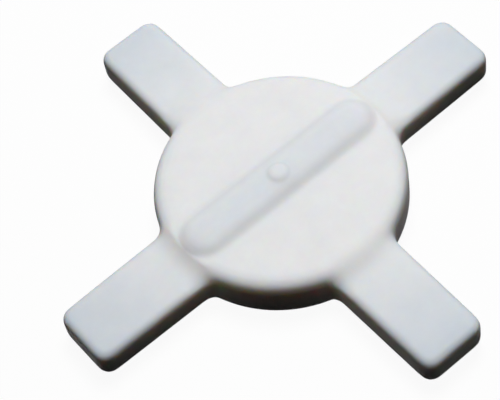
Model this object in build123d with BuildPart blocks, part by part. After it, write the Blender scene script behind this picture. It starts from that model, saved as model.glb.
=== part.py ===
# Cross-shaped magnetic stir bar: a thick round disc with four flat arms, moulded in one piece round a
# bar magnet that lies under a long low rib. Z is up, and the origin is the centre of the disc's flat
# underside. The rib and the magnet lie along X, and the arms point along X and Y.
import os

from build123d import *

os.makedirs("parts", exist_ok=True)

# Driving dimensions, in millimetres

# Disc
disc_diameter = 34.9
disc_height = 7.0
disc_top_round = 1.2
disc_foot_round = 1.3

# Arms, the root width taken at the disc's wall. They lie below the disc's top and above its underside.
arm_count = 4
arm_span = 69.85
arm_root_width = 10.4
arm_tip_width = 9.95
arm_drop = 1.23
arm_foot = 0.87
arm_corner_radius = 1.8
arm_top_round = 1.1
arm_foot_round = 1.0

# Rounds where the arms meet the disc: in plan, and across the top. In plan they start a little inside
# the disc's wall, so that the wall cuts them clean.
junction_radius = 2.7
junction_inset = 0.6
valley_radius = 0.8

# Rib over the magnet
rib_length = 33.0
rib_width = 6.8
rib_height = 1.0

# Pip on the rib's crown
pip_diameter = 2.5
pip_height = 0.3
pip_round = 0.2

# Magnet, and the skin between it and the rib's crown
magnet_diameter = 6.0
magnet_length = 28.0
magnet_chamfer = 0.4
magnet_skin = 1.0

# Places that follow from the sizes above
disc_radius = disc_diameter / 2
arm_reach = arm_span / 2
arm_top = disc_height - arm_drop
arm_thickness = arm_top - arm_foot
arm_taper = (arm_tip_width - arm_root_width) / (arm_reach - disc_radius)
arm_axis_width = arm_root_width - arm_taper * disc_radius
rib_crown = disc_height + rib_height
rib_root = disc_height - disc_top_round
rib_end_centre = (rib_length - rib_width) / 2
magnet_axis = rib_crown - magnet_skin - magnet_diameter / 2

# How closely an edge has to match a size to be picked by it
tolerance = 0.01


def upright_edges(part):
    """The part's upright edges, in groups, from the nearest to the axis to the furthest."""
    return part.edges().filter_by(Axis.Z).group_by(lambda edge: round(distance_from_axis(edge), 3))


def distance_from_axis(edge):
    """How far an upright edge stands from the disc's axis."""
    middle = edge.center()
    return Vector(middle.X, middle.Y).length


def on_valley(edge):
    """Whether an edge is an arc about the disc's axis at the height of the arms' tops."""
    if edge.geom_type != GeomType.CIRCLE:
        return False
    middle = edge.arc_center
    about_axis = Vector(middle.X, middle.Y).length < tolerance
    at_arm_top = abs(middle.Z - arm_top) < tolerance
    return about_axis and at_arm_top


# Bar magnet: a straight rod with a small chamfer round each end
with BuildPart() as bar_magnet:
    with BuildSketch(Plane.YZ.offset(-magnet_length / 2)):
        with Locations((0, magnet_axis)):
            Circle(magnet_diameter / 2)
    extrude(amount=magnet_length)
    chamfer(bar_magnet.edges().filter_by(GeomType.CIRCLE), magnet_chamfer)

# Rib, as a tool for the body: an arched bar with a domed end, drawn for +X and mirrored
with BuildPart() as rib:
    with BuildSketch(Plane.YZ) as arch:
        with BuildLine():
            ThreePointArc((-rib_width / 2, disc_height), (0, rib_crown), (rib_width / 2, disc_height))
            Polyline(
                (rib_width / 2, disc_height),
                (rib_width / 2, rib_root),
                (-rib_width / 2, rib_root),
                (-rib_width / 2, disc_height),
            )
        make_face()
    extrude(amount=rib_end_centre)
    with BuildSketch(Plane.YZ.offset(rib_end_centre)):
        add(arch.sketch_local)
        split(bisect_by=Plane.YZ)
    revolve(axis=Axis((rib_end_centre, 0, 0), (0, 0, 1)))
    mirror(about=Plane.YZ)

# Body: disc, arms, rib and pip in one moulding, closed round the magnet
with BuildPart() as body:
    # Flat cross with the disc as its hub
    with BuildSketch(Plane.XY.offset(arm_foot)):
        Circle(disc_radius - junction_inset)
        with PolarLocations(0, arm_count):
            Polygon(
                (0, -arm_axis_width / 2),
                (arm_reach, -arm_tip_width / 2),
                (arm_reach, arm_tip_width / 2),
                (0, arm_axis_width / 2),
                align=None,
            )
    extrude(amount=arm_thickness)
    fillet(upright_edges(body)[-1], arm_corner_radius)
    fillet(upright_edges(body)[0], junction_radius)
    fillet(body.faces().sort_by(Axis.Z)[-1].edges(), arm_top_round)
    fillet(body.faces().sort_by(Axis.Z)[0].edges(), arm_foot_round)

    # Disc: a turned section that stands proud of the arms above and below
    with BuildSketch(Plane.XZ) as section:
        with Locations((disc_radius / 2, disc_height / 2)):
            Rectangle(disc_radius, disc_height)
        fillet(section.vertices().group_by(Axis.X)[-1].sort_by(Axis.Y)[0], disc_foot_round)
        fillet(section.vertices().group_by(Axis.X)[-1].sort_by(Axis.Y)[-1], disc_top_round)
    revolve(axis=Axis.Z)
    fillet(body.edges().filter_by(on_valley), valley_radius)

    # Rib across the disc, with a round pip on the middle of its crown
    add(rib.part)
    with BuildSketch(Plane.XY.offset(disc_height)):
        Circle(pip_diameter / 2)
    extrude(amount=rib_height + pip_height)
    fillet(body.faces().sort_by(Axis.Z)[-1].edges(), pip_round)

    # Sealed cavity, as the skin is moulded tight round the magnet
    add(bar_magnet.part, mode=Mode.SUBTRACT)

bar_magnet.part.label = "bar_magnet"
export_step(bar_magnet.part, "parts/bar_magnet.step")

body.part.label = "body"
export_step(body.part, "parts/body.step")
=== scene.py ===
import math

import bmesh
import bpy
from mathutils import Matrix, Vector


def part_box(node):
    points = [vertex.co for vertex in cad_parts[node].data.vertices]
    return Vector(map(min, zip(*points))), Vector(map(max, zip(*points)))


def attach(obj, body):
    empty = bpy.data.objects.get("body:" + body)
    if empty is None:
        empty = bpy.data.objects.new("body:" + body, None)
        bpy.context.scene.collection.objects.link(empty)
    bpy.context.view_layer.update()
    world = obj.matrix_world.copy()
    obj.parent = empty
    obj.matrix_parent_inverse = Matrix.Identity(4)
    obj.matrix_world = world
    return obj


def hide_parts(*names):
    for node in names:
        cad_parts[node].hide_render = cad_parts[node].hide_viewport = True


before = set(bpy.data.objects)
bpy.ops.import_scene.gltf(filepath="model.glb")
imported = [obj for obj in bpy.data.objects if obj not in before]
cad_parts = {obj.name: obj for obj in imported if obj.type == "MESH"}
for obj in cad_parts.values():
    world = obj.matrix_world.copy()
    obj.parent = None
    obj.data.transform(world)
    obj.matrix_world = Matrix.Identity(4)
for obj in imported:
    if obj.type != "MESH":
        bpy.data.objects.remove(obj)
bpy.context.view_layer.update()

MM = 0.001
UP = Vector((0.0, 0.0, 1.0))

# Camera, fitted to the outline of the object in the picture. Angles are in degrees.
VIEW_AZIMUTH = -29.593
VIEW_ELEVATION = 57.425
VIEW_ROLL = -12.49
VIEW_DISTANCE = 0.2531
FOCAL_PIXELS = 1826.0
PICTURE_WIDTH = 500
PICTURE_HEIGHT = 400
ORIGIN_PIXEL = (283.6, 202.55)
SENSOR_WIDTH = 36.0
CLIP_START = 0.01
CLIP_END = 10.0

# Jacket: the arms' plan as in the solids, with the full round where they flare into the disc
ARM_COUNT = 4
ARM_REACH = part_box("body")[1][0]
ARM_ROOT_WIDTH = 10.4 * MM
ARM_TIP_WIDTH = 9.95 * MM
ARM_FOOT = 0.87 * MM
ARM_THICKNESS = 4.9 * MM
ARM_CORNER_RADIUS = 1.8 * MM
ARM_EDGE_ROUND = 1.05 * MM
DISC_RADIUS = 17.45 * MM
FLARE_RADIUS = 2.3 * MM
ARC_STEPS = 8
EDGE_STEPS = 5
ROUND_PROFILE = 0.5

# Rib and pip on the disc's top
DISC_TOP = 7.0 * MM
RIB_HEIGHT = 1.0 * MM
RIB_FULLNESS = 0.72
RIB_HALF_WIDTH = 3.4 * MM
RIB_CLEARANCE = 1.15
RIB_END_CENTRE = 13.1 * MM
PIP_RING_RADIUS = 1.45 * MM
PIP_REACH = 1.9 * MM

# How finely the moulded skin is meshed, and how close vertices lie that are taken as one
SKIN_CELL = 0.25 * MM
WELD = 0.001 * MM

# How much the skin is eased: all over, on the outer walls, on the disc's upper edge, at the roots of
# the arms and round the pip. Starts and ends are distances from the axis.
EASE_FACTOR = 0.5
WHOLE_EASE_STEPS = 2
OUTER_EASE_STEPS = 8
OUTER_START = 16.75 * MM
EDGE_EASE_STEPS = 50
EDGE_START = 15.6 * MM
ROOT_EASE_STEPS = 80
ROOT_START = 14.8 * MM
ROOT_HALF_WIDTH = 4.6 * MM
VALLEY_END = 20.5 * MM
VALLEY_FLOOR = 5.3 * MM
PIP_EASE_STEPS = 9

# Fluoropolymer: its shading, its colour on the disc, the painted shade, darker and cooler, toward the
# arms' tips, and how far the light of each colour runs under its surface
JACKET_ROUGHNESS = 0.5
JACKET_REFRACTION = 1.35
JACKET_SPECULAR = 0.3
SCATTER_SHARES = (1.0, 0.72, 0.5)
SCATTER_DEPTH = 2.2 * MM
DISC_WHITE = (0.90, 0.905, 0.915, 1.0)
# Painted shade: the arms fade to this darker, cooler colour toward their tips, from the distance below
# out
ARM_TIP_PAINTED_SHADE = (0.71, 0.765, 0.82, 1.0)
ARM_SHADE_START = 0.83 * DISC_RADIUS

# Painted shade: darker on the rib where the skin is thin over the magnet, along the rib's foot and in
# the ring round the pip, each with the distances over which it comes or goes
# Painted shade on the rib, over the magnet under the skin
RIB_PAINTED_SHADE = (0.945, 0.95, 0.965, 1.0)
RIB_SHADE_FADE = (0.8 * RIB_HALF_WIDTH, 1.05 * RIB_HALF_WIDTH)
# Painted shade along the rib's foot, darkening its flanks
FOOT_PAINTED_SHADE = (0.93, 0.93, 0.935, 1.0)
FOOT_SHADE_RISE = (0.5 * RIB_HALF_WIDTH, 0.9 * RIB_HALF_WIDTH)
# Painted shade in the ring round the pip
RING_PAINTED_SHADE = (0.94, 0.94, 0.945, 1.0)
RING_SHADE_FADE = (0.05 * MM, 0.4 * MM)

# Cloudiness of the moulding: how fine it is, and the range of its levels
CLOUD_SCALE = 160.0
CLOUD_DETAIL = 6.0
CLOUD_ROUGHNESS = 0.72
CLOUD_NOISE = (0.3, 0.7)
CLOUD_LEVELS = (0.955, 1.01)

# Satin grain and small pits, as bumps
GRAIN_SCALE = 2600.0
GRAIN_DETAIL = 3.0
GRAIN_STRENGTH = 0.3
GRAIN_DEPTH = 0.02 * MM
PIT_SCALE = 150.0
PIT_EDGE = (0.02, 0.07)
PIT_STRENGTH = 0.5
PIT_DEPTH = 0.06 * MM

# Magnet alloy
ALLOY_METALLIC = 0.7
ALLOY_ROUGHNESS = 0.55
ALLOY_GRAIN_SCALE = 2500.0
ALLOY_DARK = (0.035, 0.035, 0.038, 1.0)
ALLOY_LIGHT = (0.075, 0.073, 0.072, 1.0)

# Floor and world: white to the rays that see them, and dark to scattered light
WHITE = (1.0, 1.0, 1.0, 1.0)
FLOOR_HALF = 2.0
PAPER_WHITE = (0.9, 0.9, 0.9, 1.0)
PAPER_GLOW = 0.94
DARK_FLOOR = (0.02, 0.018, 0.016, 1.0)
FAINT_LEVEL = 0.005

# Lamp
LAMP_DIAMETER = 0.19
LAMP_WATTS = 1.37
LAMP_PLACE = (0.095, 0.065, 0.375)


def new_material(name):
    """A new material with its nodes, links and principled shader."""
    material = bpy.data.materials.new(name)
    material.use_nodes = True
    nodes = material.node_tree.nodes
    return material, nodes, material.node_tree.links, nodes["Principled BSDF"]


def ranged(nodes, links, value, low, high, to_low, to_high):
    """A value moved from one range to another, held at the ends."""
    change = nodes.new("ShaderNodeMapRange")
    change.inputs["From Min"].default_value = low
    change.inputs["From Max"].default_value = high
    change.inputs["To Min"].default_value = to_low
    change.inputs["To Max"].default_value = to_high
    links.new(value, change.inputs["Value"])
    return change.outputs["Result"]


def calculated(nodes, links, operation, first, second=None):
    """The result of one sum on a value, with a second value or number where it takes two."""
    node = nodes.new("ShaderNodeMath")
    node.operation = operation
    links.new(first, node.inputs[0])
    if isinstance(second, float):
        node.inputs[1].default_value = second
    elif second is not None:
        links.new(second, node.inputs[1])
    return node.outputs["Value"]


def mixed_color(nodes, links, amount, first, second):
    """A colour between two others, by an amount from another node."""
    mix = nodes.new("ShaderNodeMix")
    mix.data_type = "RGBA"
    links.new(amount, mix.inputs["Factor"])
    mix.inputs["A"].default_value = first
    mix.inputs["B"].default_value = second
    return mix.outputs["Result"]


def tinted(nodes, links, color, amount, tint):
    """The colour, tinted by an amount from another node."""
    mix = nodes.new("ShaderNodeMix")
    mix.data_type = "RGBA"
    mix.blend_type = "MULTIPLY"
    links.new(amount, mix.inputs["Factor"])
    links.new(color, mix.inputs["A"])
    mix.inputs["B"].default_value = tint
    return mix.outputs["Result"]


def mottled(nodes, links, place, color):
    """The colour, with the cloudiness and fine speckle of a thick moulding."""
    cloud = nodes.new("ShaderNodeTexNoise")
    cloud.inputs["Scale"].default_value = CLOUD_SCALE
    cloud.inputs["Detail"].default_value = CLOUD_DETAIL
    cloud.inputs["Roughness"].default_value = CLOUD_ROUGHNESS
    links.new(place, cloud.inputs["Vector"])
    level = ranged(nodes, links, cloud.outputs["Fac"], *CLOUD_NOISE, *CLOUD_LEVELS)
    mix = nodes.new("ShaderNodeMix")
    mix.data_type = "RGBA"
    mix.blend_type = "MULTIPLY"
    mix.inputs["Factor"].default_value = 1.0
    links.new(color, mix.inputs["A"])
    links.new(level, mix.inputs["B"])
    return mix.outputs["Result"]


def distance_from_rib_axis(nodes, links, place):
    """How far a place lies in plan from the rib's axis, measured round its end past its end centre."""
    apart = nodes.new("ShaderNodeSeparateXYZ")
    links.new(place, apart.inputs["Vector"])
    along = calculated(nodes, links, "ABSOLUTE", apart.outputs["X"])
    past_end = calculated(nodes, links, "SUBTRACT", along, RIB_END_CENTRE)
    past_end = calculated(nodes, links, "MAXIMUM", past_end, 0.0)
    end_squared = calculated(nodes, links, "MULTIPLY", past_end, past_end)
    across_squared = calculated(nodes, links, "MULTIPLY", apart.outputs["Y"], apart.outputs["Y"])
    squared = calculated(nodes, links, "ADD", end_squared, across_squared)
    return calculated(nodes, links, "SQRT", squared)


def painted_rib_shade(nodes, links, place, radius, color):
    """The colour, with painted shade: darker on the rib over the magnet, along the rib's foot and in the
    ring round the pip.
    """
    from_axis = distance_from_rib_axis(nodes, links, place)
    # Painted shade on the rib
    rib_shade = ranged(nodes, links, from_axis, *RIB_SHADE_FADE, 1.0, 0.0)
    color = tinted(nodes, links, color, rib_shade, RIB_PAINTED_SHADE)
    # Painted shade along the rib's foot
    foot_shade = ranged(nodes, links, from_axis, *FOOT_SHADE_RISE, 0.0, 1.0)
    foot_shade = calculated(nodes, links, "MULTIPLY", foot_shade, rib_shade)
    color = tinted(nodes, links, color, foot_shade, FOOT_PAINTED_SHADE)
    # Painted shade in the ring round the pip
    from_ring = calculated(nodes, links, "SUBTRACT", radius, PIP_RING_RADIUS)
    from_ring = calculated(nodes, links, "ABSOLUTE", from_ring)
    ring_shade = ranged(nodes, links, from_ring, *RING_SHADE_FADE, 1.0, 0.0)
    return tinted(nodes, links, color, ring_shade, RING_PAINTED_SHADE)


def bumped(nodes, links, height, strength, distance):
    """A bump node for a height from another node."""
    bump = nodes.new("ShaderNodeBump")
    bump.inputs["Strength"].default_value = strength
    bump.inputs["Distance"].default_value = distance
    links.new(height, bump.inputs["Height"])
    return bump


def satin_grain(nodes, links, place):
    """Fine satin grain of the mould, with small pits."""
    grain = nodes.new("ShaderNodeTexNoise")
    grain.inputs["Scale"].default_value = GRAIN_SCALE
    grain.inputs["Detail"].default_value = GRAIN_DETAIL
    links.new(place, grain.inputs["Vector"])
    fine = bumped(nodes, links, grain.outputs["Fac"], GRAIN_STRENGTH, GRAIN_DEPTH)
    spots = nodes.new("ShaderNodeTexVoronoi")
    spots.inputs["Scale"].default_value = PIT_SCALE
    links.new(place, spots.inputs["Vector"])
    pit = ranged(nodes, links, spots.outputs["Distance"], *PIT_EDGE, 0.0, 1.0)
    pitted = bumped(nodes, links, pit, PIT_STRENGTH, PIT_DEPTH)
    links.new(fine.outputs["Normal"], pitted.inputs["Normal"])
    return pitted.outputs["Normal"]


def distance_from_disc_axis(nodes, links, place):
    """How far a place lies in plan from the disc's axis."""
    flat = nodes.new("ShaderNodeVectorMath")
    flat.operation = "MULTIPLY"
    flat.inputs[1].default_value = (1.0, 1.0, 0.0)
    links.new(place, flat.inputs[0])
    radius = nodes.new("ShaderNodeVectorMath")
    radius.operation = "LENGTH"
    links.new(flat.outputs["Vector"], radius.inputs[0])
    return radius.outputs["Value"]


def white_fluoropolymer():
    """White moulded fluoropolymer: satin, waxy and translucent, with painted shade, darker and cooler,
    toward the arms' tips.
    """
    material, nodes, links, shader = new_material("white_fluoropolymer")
    shader.inputs["Roughness"].default_value = JACKET_ROUGHNESS
    shader.inputs["IOR"].default_value = JACKET_REFRACTION
    shader.inputs["Specular IOR Level"].default_value = JACKET_SPECULAR
    shader.subsurface_method = "RANDOM_WALK"
    shader.inputs["Subsurface Weight"].default_value = 1.0
    shader.inputs["Subsurface Radius"].default_value = SCATTER_SHARES
    shader.inputs["Subsurface Scale"].default_value = SCATTER_DEPTH
    place = nodes.new("ShaderNodeTexCoord").outputs["Object"]
    radius = distance_from_disc_axis(nodes, links, place)
    # Painted shade: darker and cooler from near the disc's edge out to the arms' tips
    arm_tip_shade = ranged(nodes, links, radius, ARM_SHADE_START, ARM_REACH, 0.0, 1.0)
    color = mixed_color(nodes, links, arm_tip_shade, DISC_WHITE, ARM_TIP_PAINTED_SHADE)
    # Painted shade on the rib, along its foot and in the ring round the pip
    color = painted_rib_shade(nodes, links, place, radius, color)
    links.new(mottled(nodes, links, place, color), shader.inputs["Base Color"])
    links.new(satin_grain(nodes, links, place), shader.inputs["Normal"])
    return material


def dull_magnet_alloy():
    """Ground magnet alloy: dark grey and dull, with a fine grain."""
    material, nodes, links, shader = new_material("dull_magnet_alloy")
    shader.inputs["Metallic"].default_value = ALLOY_METALLIC
    shader.inputs["Roughness"].default_value = ALLOY_ROUGHNESS
    place = nodes.new("ShaderNodeTexCoord").outputs["Object"]
    grain = nodes.new("ShaderNodeTexNoise")
    grain.inputs["Scale"].default_value = ALLOY_GRAIN_SCALE
    links.new(place, grain.inputs["Vector"])
    tone = mixed_color(nodes, links, grain.outputs["Fac"], ALLOY_DARK, ALLOY_LIGHT)
    links.new(tone, shader.inputs["Base Color"])
    return material


def finish_node(name, material):
    """Give a CAD node its material in every slot."""
    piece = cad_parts[name]
    if not piece.material_slots:
        piece.data.materials.append(material)
    for material_slot in piece.material_slots:
        material_slot.material = material


def shell_of(vert):
    """A vertex with all the vertices that edges join it to, near and far."""
    shell = {vert}
    waiting = [vert]
    while waiting:
        for edge in waiting.pop().link_edges:
            for other in edge.verts:
                if other not in shell:
                    shell.add(other)
                    waiting.append(other)
    return shell


def body_shell(outside):
    """The outside of the jacket, or the wall of its sealed cavity, copied from the solid's mesh."""
    bm = bmesh.new()
    bm.from_mesh(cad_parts["body"].data)
    bmesh.ops.remove_doubles(bm, verts=bm.verts, dist=WELD)
    tip = max(bm.verts, key=lambda vert: vert.co.x)
    skin = shell_of(tip)
    unwanted = [vert for vert in bm.verts if (vert in skin) != outside]
    bmesh.ops.delete(bm, geom=unwanted, context="VERTS")
    return bm


def add_arc(bm, start, centre, angle):
    """A row of vertices round a centre in plan."""
    vert = bm.verts.new(start)
    bmesh.ops.spin(bm, geom=[vert], cent=centre, axis=UP, angle=angle, steps=ARC_STEPS)


def add_cross_plan(bm):
    """The outline of the cross of arms, as one flat face, flared where the arms meet the disc."""
    flare_y = ARM_ROOT_WIDTH / 2 + FLARE_RADIUS
    flare_x = math.sqrt((DISC_RADIUS + FLARE_RADIUS) ** 2 - flare_y**2)
    flare = Vector((flare_x, flare_y, ARM_FOOT))
    flare_start = Vector((flare_x, flare_y, 0.0)).normalized() * DISC_RADIUS + UP * ARM_FOOT
    add_arc(bm, flare_start, flare, math.pi / 2 - math.atan2(flare_y, flare_x))
    corner_x = ARM_REACH - ARM_CORNER_RADIUS
    corner_y = ARM_TIP_WIDTH / 2 - ARM_CORNER_RADIUS
    add_arc(bm, (ARM_REACH, corner_y, ARM_FOOT), (corner_x, corner_y, ARM_FOOT), math.pi / 2)
    twin = bmesh.ops.duplicate(bm, geom=bm.verts[:])["geom"]
    bmesh.ops.scale(bm, verts=twin, vec=(1.0, -1.0, 1.0))
    arm = bm.verts[:]
    for number in range(1, ARM_COUNT):
        copy = bmesh.ops.duplicate(bm, geom=arm)["geom"]
        turn = Matrix.Rotation(number * math.tau / ARM_COUNT, 3, "Z")
        bmesh.ops.rotate(bm, verts=copy, cent=(0, 0, 0), matrix=turn)
    around = sorted(bm.verts, key=lambda vert: math.atan2(vert.co.y, vert.co.x))
    return bm.faces.new(around)


def add_flared_cross(target):
    """The flat cross of arms with its flares, and with its upper and lower edges rounded."""
    bm = bmesh.new()
    plan = add_cross_plan(bm)
    raised = bmesh.ops.extrude_face_region(bm, geom=[plan])["geom"]
    raised_verts = [item for item in raised if isinstance(item, bmesh.types.BMVert)]
    bmesh.ops.translate(bm, verts=raised_verts, vec=UP * ARM_THICKNESS)
    rims = [edge for edge in bm.edges if abs(edge.verts[0].co.z - edge.verts[1].co.z) < WELD]
    bmesh.ops.bevel(
        bm,
        geom=rims,
        offset=ARM_EDGE_ROUND,
        offset_type="OFFSET",
        affect="EDGES",
        segments=EDGE_STEPS,
        profile=ROUND_PROFILE,
        material=-1,
    )
    bmesh.ops.recalc_face_normals(bm, faces=bm.faces)
    add_bmesh(target, bm)


def add_bmesh(target, addition):
    """Put one mesh's faces into another."""
    mesh = bpy.data.meshes.new("addition")
    addition.to_mesh(mesh)
    addition.free()
    target.from_mesh(mesh)
    bpy.data.meshes.remove(mesh)


def remeshed(bm):
    """One even, closed skin over everything in a mesh."""
    mesh = bpy.data.meshes.new("raw_skin")
    bm.to_mesh(mesh)
    bm.free()
    raw = bpy.data.objects.new("raw_skin", mesh)
    bpy.context.scene.collection.objects.link(raw)
    remesh = raw.modifiers.new("skin", "REMESH")
    remesh.mode = "VOXEL"
    remesh.voxel_size = SKIN_CELL
    graph = bpy.context.evaluated_depsgraph_get()
    even = bpy.data.meshes.new_from_object(raw.evaluated_get(graph))
    bpy.data.objects.remove(raw)
    skin = bmesh.new()
    skin.from_mesh(even)
    bpy.data.meshes.remove(even)
    return skin


def ease(bm, verts, steps):
    """Soften the shape at some vertices."""
    for step in range(steps):
        bmesh.ops.smooth_vert(
            bm, verts=verts, factor=EASE_FACTOR, use_axis_x=True, use_axis_y=True, use_axis_z=True
        )


def in_valley(place, start):
    """Whether a place is on the disc's upper edge or the root of an arm. Near the rib it starts later."""
    if abs(place.y) < RIB_CLEARANCE * RIB_HALF_WIDTH:
        start = OUTER_START
    return start < place.xy.length < VALLEY_END and place.z > VALLEY_FLOOR


def on_arm_line(place):
    """Whether a place is in line with one of the arms."""
    return min(abs(place.x), abs(place.y)) < ROOT_HALF_WIDTH


def fill_out_rib(bm):
    """Make the rib's flanks stand up more steeply from the disc, at the same height."""
    for vert in bm.verts:
        rise = (vert.co.z - DISC_TOP) / RIB_HEIGHT
        if 0.0 < rise < 1.0:
            vert.co.z = DISC_TOP + RIB_HEIGHT * rise**RIB_FULLNESS


def soften_as_moulded(skin):
    """Ease the skin's edges, each part by its own amount, and fill out the rib."""
    outer = [vert for vert in skin.verts if vert.co.xy.length > OUTER_START]
    edge = [vert for vert in skin.verts if in_valley(vert.co, EDGE_START)]
    roots = [vert for vert in skin.verts if on_arm_line(vert.co) and in_valley(vert.co, ROOT_START)]
    pip = [vert for vert in skin.verts if vert.co.xy.length < PIP_REACH and vert.co.z > DISC_TOP]
    ease(skin, skin.verts, WHOLE_EASE_STEPS)
    ease(skin, outer, OUTER_EASE_STEPS)
    ease(skin, roots, ROOT_EASE_STEPS)
    ease(skin, edge, EDGE_EASE_STEPS)
    ease(skin, pip, PIP_EASE_STEPS)
    fill_out_rib(skin)
    bmesh.ops.recalc_face_normals(skin, faces=skin.faces)


def moulded_jacket(material):
    """The white jacket: one soft-edged moulding, closed round the magnet's cavity."""
    outside = body_shell(True)
    add_flared_cross(outside)
    skin = remeshed(outside)
    soften_as_moulded(skin)
    add_bmesh(skin, body_shell(False))
    mesh = bpy.data.meshes.new("moulded_jacket")
    skin.to_mesh(mesh)
    skin.free()
    mesh.polygons.foreach_set("use_smooth", [True] * len(mesh.polygons))
    mesh.materials.append(material)
    jacket = bpy.data.objects.new("moulded_jacket", mesh)
    bpy.context.scene.collection.objects.link(jacket)
    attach(jacket, "root")
    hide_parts("body")


def ray_that_sees_white(nodes, links):
    """One for camera, glossy and transmission rays, and nothing for scattered light."""
    path = nodes.new("ShaderNodeLightPath")
    seen = calculated(
        nodes, links, "MAXIMUM", path.outputs["Is Camera Ray"], path.outputs["Is Glossy Ray"]
    )
    return calculated(nodes, links, "MAXIMUM", seen, path.outputs["Is Transmission Ray"])


def floor_material():
    """White, with the object's shadow kept, to rays that see it, and dark to scattered light."""
    material = bpy.data.materials.new("plain_floor")
    material.use_nodes = True
    nodes = material.node_tree.nodes
    links = material.node_tree.links
    nodes.clear()
    output = nodes.new("ShaderNodeOutputMaterial")
    paper = nodes.new("ShaderNodeBsdfDiffuse")
    paper.inputs["Color"].default_value = PAPER_WHITE
    glow = nodes.new("ShaderNodeEmission")
    glow.inputs["Strength"].default_value = 1.0
    white = nodes.new("ShaderNodeMixShader")
    white.inputs["Fac"].default_value = PAPER_GLOW
    links.new(paper.outputs[0], white.inputs[1])
    links.new(glow.outputs[0], white.inputs[2])
    dark = nodes.new("ShaderNodeBsdfDiffuse")
    dark.inputs["Color"].default_value = DARK_FLOOR
    choice = nodes.new("ShaderNodeMixShader")
    links.new(ray_that_sees_white(nodes, links), choice.inputs["Fac"])
    links.new(dark.outputs[0], choice.inputs[1])
    links.new(white.outputs[0], choice.inputs[2])
    links.new(choice.outputs[0], output.inputs["Surface"])
    return material


def make_floor():
    """A plain floor under the disc's flat underside."""
    mesh = bpy.data.meshes.new("floor")
    half = FLOOR_HALF
    corners = [(-half, -half, 0), (half, -half, 0), (half, half, 0), (-half, half, 0)]
    mesh.from_pydata(corners, [], [(0, 1, 2, 3)])
    floor = bpy.data.objects.new("floor", mesh)
    floor.data.materials.append(floor_material())
    bpy.context.scene.collection.objects.link(floor)


def make_world():
    """Faint even light, and white to the rays that see past the floor."""
    world = bpy.data.worlds.new("studio")
    bpy.context.scene.world = world
    world.use_nodes = True
    nodes = world.node_tree.nodes
    links = world.node_tree.links
    background = nodes["Background"]
    level = ranged(nodes, links, ray_that_sees_white(nodes, links), 0.0, 1.0, FAINT_LEVEL, 1.0)
    links.new(level, background.inputs["Strength"])
    background.inputs["Color"].default_value = WHITE


def make_lamp():
    """One large soft lamp overhead, to the side of the rib's far end, that points at the origin."""
    data = bpy.data.lights.new("overhead_lamp", "AREA")
    data.shape = "DISK"
    data.size = LAMP_DIAMETER
    data.energy = LAMP_WATTS
    lamp = bpy.data.objects.new("overhead_lamp", data)
    lamp.location = LAMP_PLACE
    toward = -Vector(lamp.location)
    lamp.rotation_euler = toward.to_track_quat("-Z", "Y").to_euler()
    bpy.context.scene.collection.objects.link(lamp)


def make_camera():
    """The camera at the picture's viewing angle."""
    azimuth = math.radians(VIEW_AZIMUTH)
    elevation = math.radians(VIEW_ELEVATION)
    roll = math.radians(VIEW_ROLL)
    back = Vector(
        (
            math.sin(azimuth) * math.cos(elevation),
            -math.cos(azimuth) * math.cos(elevation),
            math.sin(elevation),
        )
    )
    level_right = Vector((math.cos(azimuth), math.sin(azimuth), 0.0))
    level_up = back.cross(level_right)
    right = level_right * math.cos(roll) + level_up * math.sin(roll)
    up = level_up * math.cos(roll) - level_right * math.sin(roll)
    offset_right = (ORIGIN_PIXEL[0] - (PICTURE_WIDTH - 1) / 2) / FOCAL_PIXELS * VIEW_DISTANCE
    offset_up = ((PICTURE_HEIGHT - 1) / 2 - ORIGIN_PIXEL[1]) / FOCAL_PIXELS * VIEW_DISTANCE
    location = back * VIEW_DISTANCE - right * offset_right - up * offset_up

    data = bpy.data.cameras.new("camera")
    data.sensor_width = SENSOR_WIDTH
    data.sensor_fit = "HORIZONTAL"
    data.lens = FOCAL_PIXELS * SENSOR_WIDTH / PICTURE_WIDTH
    data.clip_start = CLIP_START
    data.clip_end = CLIP_END
    camera = bpy.data.objects.new("camera", data)
    facing = Matrix((right, up, back)).transposed().to_4x4()
    camera.matrix_world = Matrix.Translation(location) @ facing
    bpy.context.scene.collection.objects.link(camera)
    bpy.context.scene.camera = camera


white_plastic = white_fluoropolymer()
finish_node("body", white_plastic)
finish_node("bar_magnet", dull_magnet_alloy())
moulded_jacket(white_plastic)

make_floor()
make_world()
make_lamp()
make_camera()
bpy.context.scene.view_settings.view_transform = "Standard"
